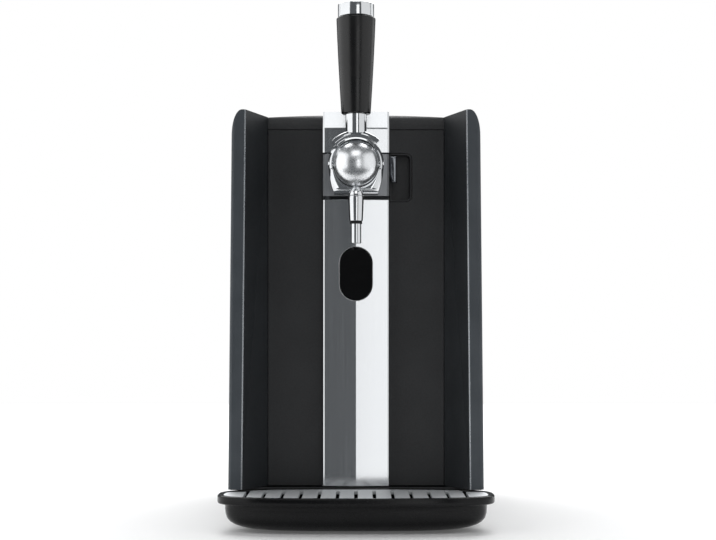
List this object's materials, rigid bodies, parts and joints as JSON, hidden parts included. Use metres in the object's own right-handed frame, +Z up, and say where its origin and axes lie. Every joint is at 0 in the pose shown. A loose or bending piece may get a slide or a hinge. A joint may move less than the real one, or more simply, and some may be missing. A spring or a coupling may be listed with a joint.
{
  "type": "mini keg beer dispenser",
  "caption": "Counter-top cooled keg dispenser: dark housing with side fins, metal front strip, lever tap on a swing door, hinged lid over the keg chamber, slotted drip tray in front.",
  "frame": {"origin": "on the table, under the middle of the whole dispenser with its drip tray", "axes": "+Z up, +X to the right of someone facing the tap, -Y out of the front towards them"},
  "size_m": [0.2616, 0.444, 0.4984],
  "materials": {
    "satin_black": "satin moulded",
    "matt_black": "fine matt texture",
    "gloss_black": "polished",
    "brushed_steel": "brushed",
    "chrome": "polished",
    "satin_chrome": "satin",
    "cast_grey": "painted casting",
    "aluminium": "as formed",
    "rubber": "moulded",
    "foam": "expanded foam",
    "ceramic": "ceramic",
    "circuit_board": "lacquered board",
    "grey_plastic": "moulded",
    "milky_plastic": "translucent hose"
  },
  "bodies": {
    "housing": {"side_panel_right": "satin_black", "side_panel_left": "satin_black", "front_panel": "matt_black", "finger_cup": "matt_black", "trim_strip_lower": "brushed_steel", "tap_bridge": "cast_grey", "door_hinge_pin": "chrome", "display_window": "gloss_black", "display_board": "circuit_board", "display_cable": "grey_plastic", "top_deck": "matt_black", "lid_gasket": "rubber", "rear_top_cover": "satin_black", "lid_hinge_pin": "chrome", "rear_panel": "matt_black", "power_inlet": "gloss_black", "switch_body": "gloss_black", "base_tub": "matt_black", "foot_front_left": "rubber", "foot_front_right": "rubber", "foot_rear_left": "rubber", "foot_rear_right": "rubber", "keg_bucket": "aluminium", "insulation_foam": "foam", "cold_block": "aluminium", "peltier_module": "ceramic", "heat_sink": "aluminium", "pump_bracket": "cast_grey", "air_pump_motor": "brushed_steel", "air_pump_head": "grey_plastic", "air_tube": "milky_plastic", "air_coupling": "grey_plastic", "main_board": "circuit_board", "power_supply": "grey_plastic", "fan_frame": "matt_black", "fan_screw_1": "brushed_steel", "fan_screw_2": "brushed_steel", "fan_screw_3": "brushed_steel", "fan_screw_4": "brushed_steel"},
    "fan": {"fan_impeller": "matt_black"},
    "rocker": {"power_rocker": "gloss_black"},
    "lid": {"lid_shell": "satin_black", "lid_liner": "grey_plastic", "lid_trim": "brushed_steel"},
    "door": {"tap_door": "brushed_steel", "tap_body": "chrome", "tap_ball": "satin_chrome", "lever_axle": "chrome", "spout": "chrome", "outlet_tube": "milky_plastic", "nozzle": "chrome", "door_pull": "chrome"},
    "lever": {"lever_yoke": "chrome", "handle_grip": "gloss_black", "handle_cap": "chrome"},
    "tray": {"drip_tray": "satin_black", "tray_foot_left": "rubber", "tray_foot_right": "rubber"},
    "grid": {"drip_grid": "brushed_steel"}
  },
  "joints": [
    {"name": "lid_hinge", "type": "hinge", "parent": "housing", "child": "lid", "pos_m": [0, 0.15, 0.3985], "axis": [-1, 0, 0], "range_deg": [0, 95]},
    {"name": "door_hinge", "type": "hinge", "parent": "housing", "child": "door", "pos_m": [-0.0277, -0.112, 0.342], "axis": [0, 0, -1], "range_deg": [0, 60]},
    {"name": "lever_tilt", "type": "hinge", "parent": "door", "child": "lever", "pos_m": [0, -0.172, 0.347], "axis": [1, 0, 0], "range_deg": [0, 40]},
    {"name": "tray_slide", "type": "slide", "parent": "housing", "child": "tray", "axis": [0, -1, 0], "range_m": [0, 0.13]},
    {"name": "grid_lift", "type": "slide", "parent": "tray", "child": "grid", "axis": [0, 0, 1], "range_m": [0, 0.04]},
    {"name": "rocker_tilt", "type": "hinge", "parent": "housing", "child": "rocker", "pos_m": [-0.072, 0.215, 0.068], "axis": [1, 0, 0], "range_deg": [0, 12]},
    {"name": "fan_spin", "type": "hinge", "parent": "housing", "child": "fan", "pos_m": [0, 0.205, 0.225], "axis": [0, 1, 0], "continuous": true}
  ]
}
